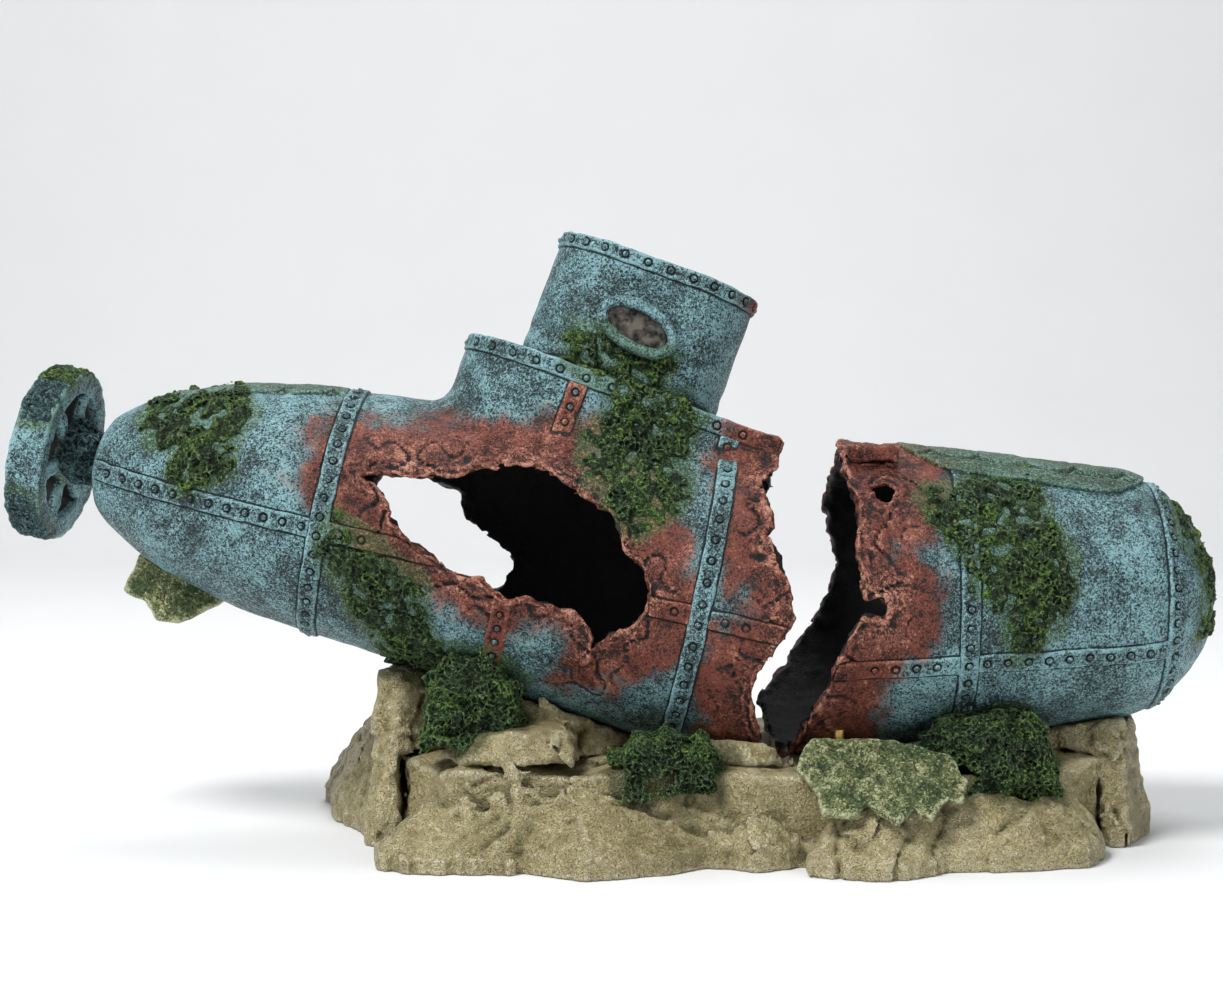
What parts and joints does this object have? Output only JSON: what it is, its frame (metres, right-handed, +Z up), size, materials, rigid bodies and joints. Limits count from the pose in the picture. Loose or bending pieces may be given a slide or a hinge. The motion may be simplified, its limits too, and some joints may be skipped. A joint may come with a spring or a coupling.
{
  "type": "bubbling aquarium ornament",
  "caption": "Wrecked submarine broken in two on a bed of rocks, with torn hull openings for fish and an air stone inside that lets bubbles out of the break.",
  "frame": {"origin": "on the underside of the base, below the middle of the ornament's length and of its hull", "axes": "+X along the ornament towards the bow, -Y towards the front that is looked at, +Z up"},
  "size_m": [0.2765, 0.1159, 0.1396],
  "materials": {
    "hull_paint": "hand-painted cast resin, turquoise dry-brushed over a dark wash, rust red round the tears",
    "strap_paint": "hand-painted cast resin, lighter turquoise over a dark wash",
    "deck_paint": "hand-painted cast resin, green over turquoise",
    "rust_paint": "hand-painted cast resin, rust red with copper highlights",
    "rivet_paint": "hand-painted cast resin",
    "rock_paint": "hand-painted cast resin, tan with olive crevices",
    "plate_paint": "hand-painted cast resin, green over grey",
    "moss_paint": "hand-painted crumbly resin, green over black",
    "crust_paint": "hand-painted crumbly resin, turquoise over black",
    "dark_paint": "dark wash",
    "air_stone": "sintered grit",
    "tube_plastic": "moulded rigid plastic",
    "plug_rubber": "soft black rubber",
    "nozzle_brass": "dull brass"
  },
  "bodies": {
    "ornament": {"plinth": "rock_paint", "rocks_left": "rock_paint", "rocks_front": "rock_paint", "rocks_right": "rock_paint", "rocks_rear": "rock_paint", "aft_hull": "hull_paint", "aft_ring_strap_rear": "strap_paint", "aft_ring_strap_fore": "strap_paint", "aft_strake_front": "strap_paint", "aft_strake_rear": "strap_paint", "aft_tear_strap": "rust_paint", "aft_deck_plate": "deck_paint", "deck_casing": "hull_paint", "deck_rim_strap": "strap_paint", "casing_upright_straps": "rust_paint", "conning_tower": "hull_paint", "tower_rim_strap": "strap_paint", "tower_hatch": "hull_paint", "porthole_rims": "strap_paint", "porthole_panes": "dark_paint", "stern_shaft": "hull_paint", "stern_wheel": "hull_paint", "stern_fin": "plate_paint", "fallen_plate": "plate_paint", "bow_hull": "hull_paint", "bow_ring_strap_rear": "strap_paint", "bow_ring_strap_fore": "strap_paint", "bow_strake_front": "strap_paint", "bow_strake_rear": "strap_paint", "bow_deck_plate": "deck_paint", "bow_casing_stub": "rust_paint", "bow_rim_stub": "rust_paint", "aft_rivets": "rivet_paint", "casing_rivets": "rivet_paint", "tower_rivets": "rivet_paint", "bow_rivets": "rivet_paint", "moss_stern": "moss_paint", "moss_side": "moss_paint", "moss_tower": "moss_paint", "moss_base_left": "moss_paint", "moss_base_middle": "moss_paint", "moss_bow": "moss_paint", "moss_base_right": "moss_paint", "moss_wheel": "moss_paint", "crust_nose": "moss_paint", "crust_hub": "crust_paint", "crust_wheel": "crust_paint", "bubble_nozzle": "nozzle_brass"},
    "air_line": {"air_stone": "air_stone", "air_spigot": "tube_plastic", "socket_plug": "plug_rubber"}
  },
  "joints": [
    {"name": "air_line_pull", "type": "slide", "parent": "ornament", "child": "air_line", "axis": [0, 1, 0], "range_m": [0, 0.06]}
  ]
}
